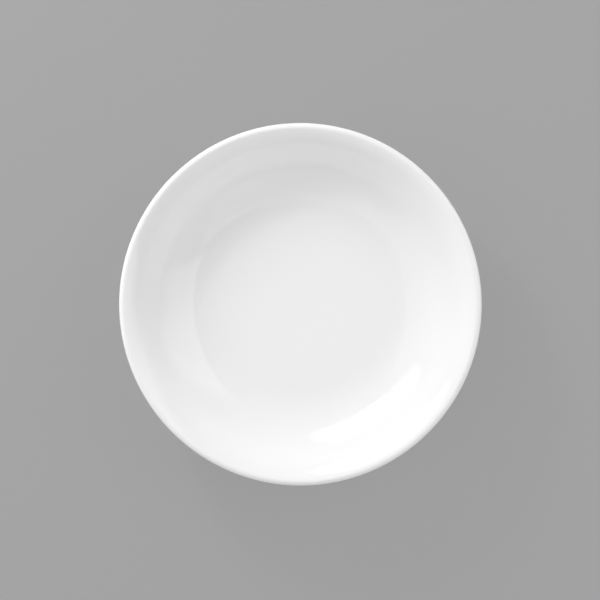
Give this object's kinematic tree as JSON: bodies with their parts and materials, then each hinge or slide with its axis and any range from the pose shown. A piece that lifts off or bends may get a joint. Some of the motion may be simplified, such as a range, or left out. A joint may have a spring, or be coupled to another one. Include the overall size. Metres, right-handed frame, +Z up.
{
  "type": "deep plate",
  "caption": "Round deep plate of white glazed porcelain with a flat well floor, an S-curved flared wall, a rounded lip and a bare foot ring, for soup, pasta or salad.",
  "frame": {"origin": "centre of the foot ring's bearing edge, on the table", "axes": "+Z up, along the axis the plate is turned about; X and Y lie in the table and are alike"},
  "size_m": [0.23, 0.23, 0.0436],
  "materials": {
    "biscuit": "bare fired porcelain, ground smooth where the plate stands, matt and faintly warm",
    "glaze": "clear glossy glaze over white porcelain"
  },
  "bodies": {
    "root": {"porcelain_body": "biscuit", "face_glaze": "glaze", "base_glaze": "glaze"}
  },
  "joints": []
}
